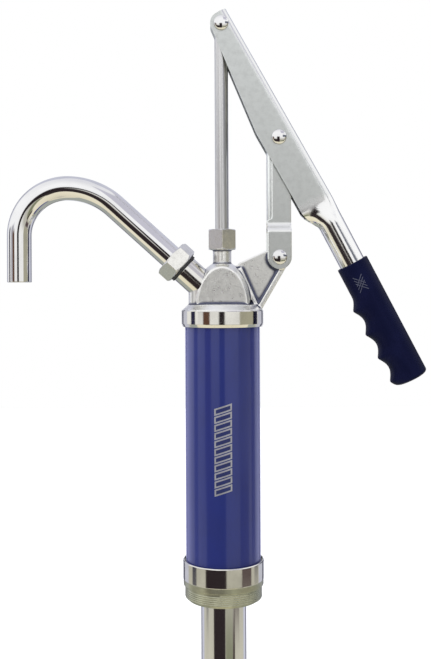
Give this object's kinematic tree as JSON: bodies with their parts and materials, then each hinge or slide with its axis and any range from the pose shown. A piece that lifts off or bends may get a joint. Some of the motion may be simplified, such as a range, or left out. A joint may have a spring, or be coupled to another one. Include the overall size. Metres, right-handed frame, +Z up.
{
  "type": "drum hand pump",
  "caption": "Lever-action hand pump with a painted barrel, bent swivel spout, link and lever with finger grip, bung thread and telescoping suction tube.",
  "frame": {"origin": "on the pump's axis, at the bung seat under the adapter's collar", "axes": "+Z up along the barrel, spout towards -X, hand lever towards +X"},
  "size_m": [0.3286, 0.064, 0.8015],
  "materials": {
    "satin_nickel": "satin nickel-plated casting",
    "chrome": "polished chrome plate",
    "zinc_plate": "satin zinc-plated pressed steel",
    "blue_paint": "gloss dark blue paint",
    "navy_rubber": "matt navy rubber",
    "brass": "machined brass",
    "black_rubber": "black nitrile rubber",
    "fibre": "pressed fibre and braided packing"
  },
  "bodies": {
    "pump_body": {"cylinder_tube": "blue_paint", "head_gasket": "fibre", "base_gasket": "fibre", "bung_adapter": "satin_nickel", "suction_gasket": "fibre", "pump_head": "satin_nickel", "gland_nut": "satin_nickel", "packing_ring_lower": "fibre", "packing_ring_middle": "fibre", "packing_ring_upper": "fibre", "gland_follower": "brass", "union_nut": "satin_nickel", "union_seal": "black_rubber", "spout_washer": "fibre", "foot_valve_seat": "brass", "foot_valve_cage": "brass", "outer_suction_tube": "chrome", "outer_tube_collar": "satin_nickel"},
    "spout": {"spout_tube": "chrome", "spout_ferrule": "brass"},
    "plunger": {"piston_rod": "chrome", "piston_body": "brass", "piston_cup": "black_rubber", "cup_retainer": "brass", "piston_nut": "brass", "valve_stop": "brass"},
    "piston_valve": {"piston_valve_disc": "black_rubber"},
    "foot_valve": {"foot_valve_disc": "black_rubber"},
    "hand_lever": {"lever": "zinc_plate", "handle_grip": "navy_rubber", "rod_pin": "chrome", "rod_pin_cap": "chrome", "pivot_rivet_front": "chrome", "pivot_rivet_back": "chrome"},
    "swing_link": {"link": "zinc_plate", "lug_pin": "chrome", "lug_pin_cap": "chrome"},
    "middle_tube": {"middle_suction_tube": "chrome", "middle_tube_seal": "black_rubber", "middle_tube_collar": "satin_nickel"},
    "inner_tube": {"inner_suction_tube": "chrome", "inner_tube_seal": "black_rubber", "foot_strainer": "satin_nickel"}
  },
  "joints": [
    {"name": "pump_stroke", "type": "slide", "parent": "pump_body", "child": "plunger", "axis": [0, 0, -1], "range_m": [0, 0.13]},
    {"name": "lever_swing", "type": "hinge", "parent": "plunger", "child": "hand_lever", "pos_m": [0, 0, 0.4376], "axis": [0, -1, 0], "range_deg": [0, 78.48]},
    {"name": "link_swing", "type": "hinge", "parent": "pump_body", "child": "swing_link", "pos_m": [0.0446, 0, 0.2553], "axis": [0, 1, 0], "range_deg": [0, 33.67]},
    {"name": "spout_swivel", "type": "hinge", "parent": "pump_body", "child": "spout", "pos_m": [0, 0, 0.2192], "axis": [-0.7396, 0, 0.673], "range_deg": [-90, 90]},
    {"name": "piston_valve_lift", "type": "slide", "parent": "plunger", "child": "piston_valve", "axis": [0, 0, 1], "range_m": [0, 0.004]},
    {"name": "foot_valve_lift", "type": "slide", "parent": "pump_body", "child": "foot_valve", "axis": [0, 0, 1], "range_m": [0, 0.005]},
    {"name": "middle_tube_slide", "type": "slide", "parent": "pump_body", "child": "middle_tube", "axis": [0, 0, -1], "range_m": [0, 0.255]},
    {"name": "inner_tube_slide", "type": "slide", "parent": "middle_tube", "child": "inner_tube", "axis": [0, 0, -1], "range_m": [0, 0.255]}
  ],
  "couplings": [
    {"joint": "lever_swing", "follows": "pump_stroke", "rad_per_m": 10.51},
    {"joint": "link_swing", "follows": "pump_stroke", "rad_per_m": 4.4931}
  ]
}
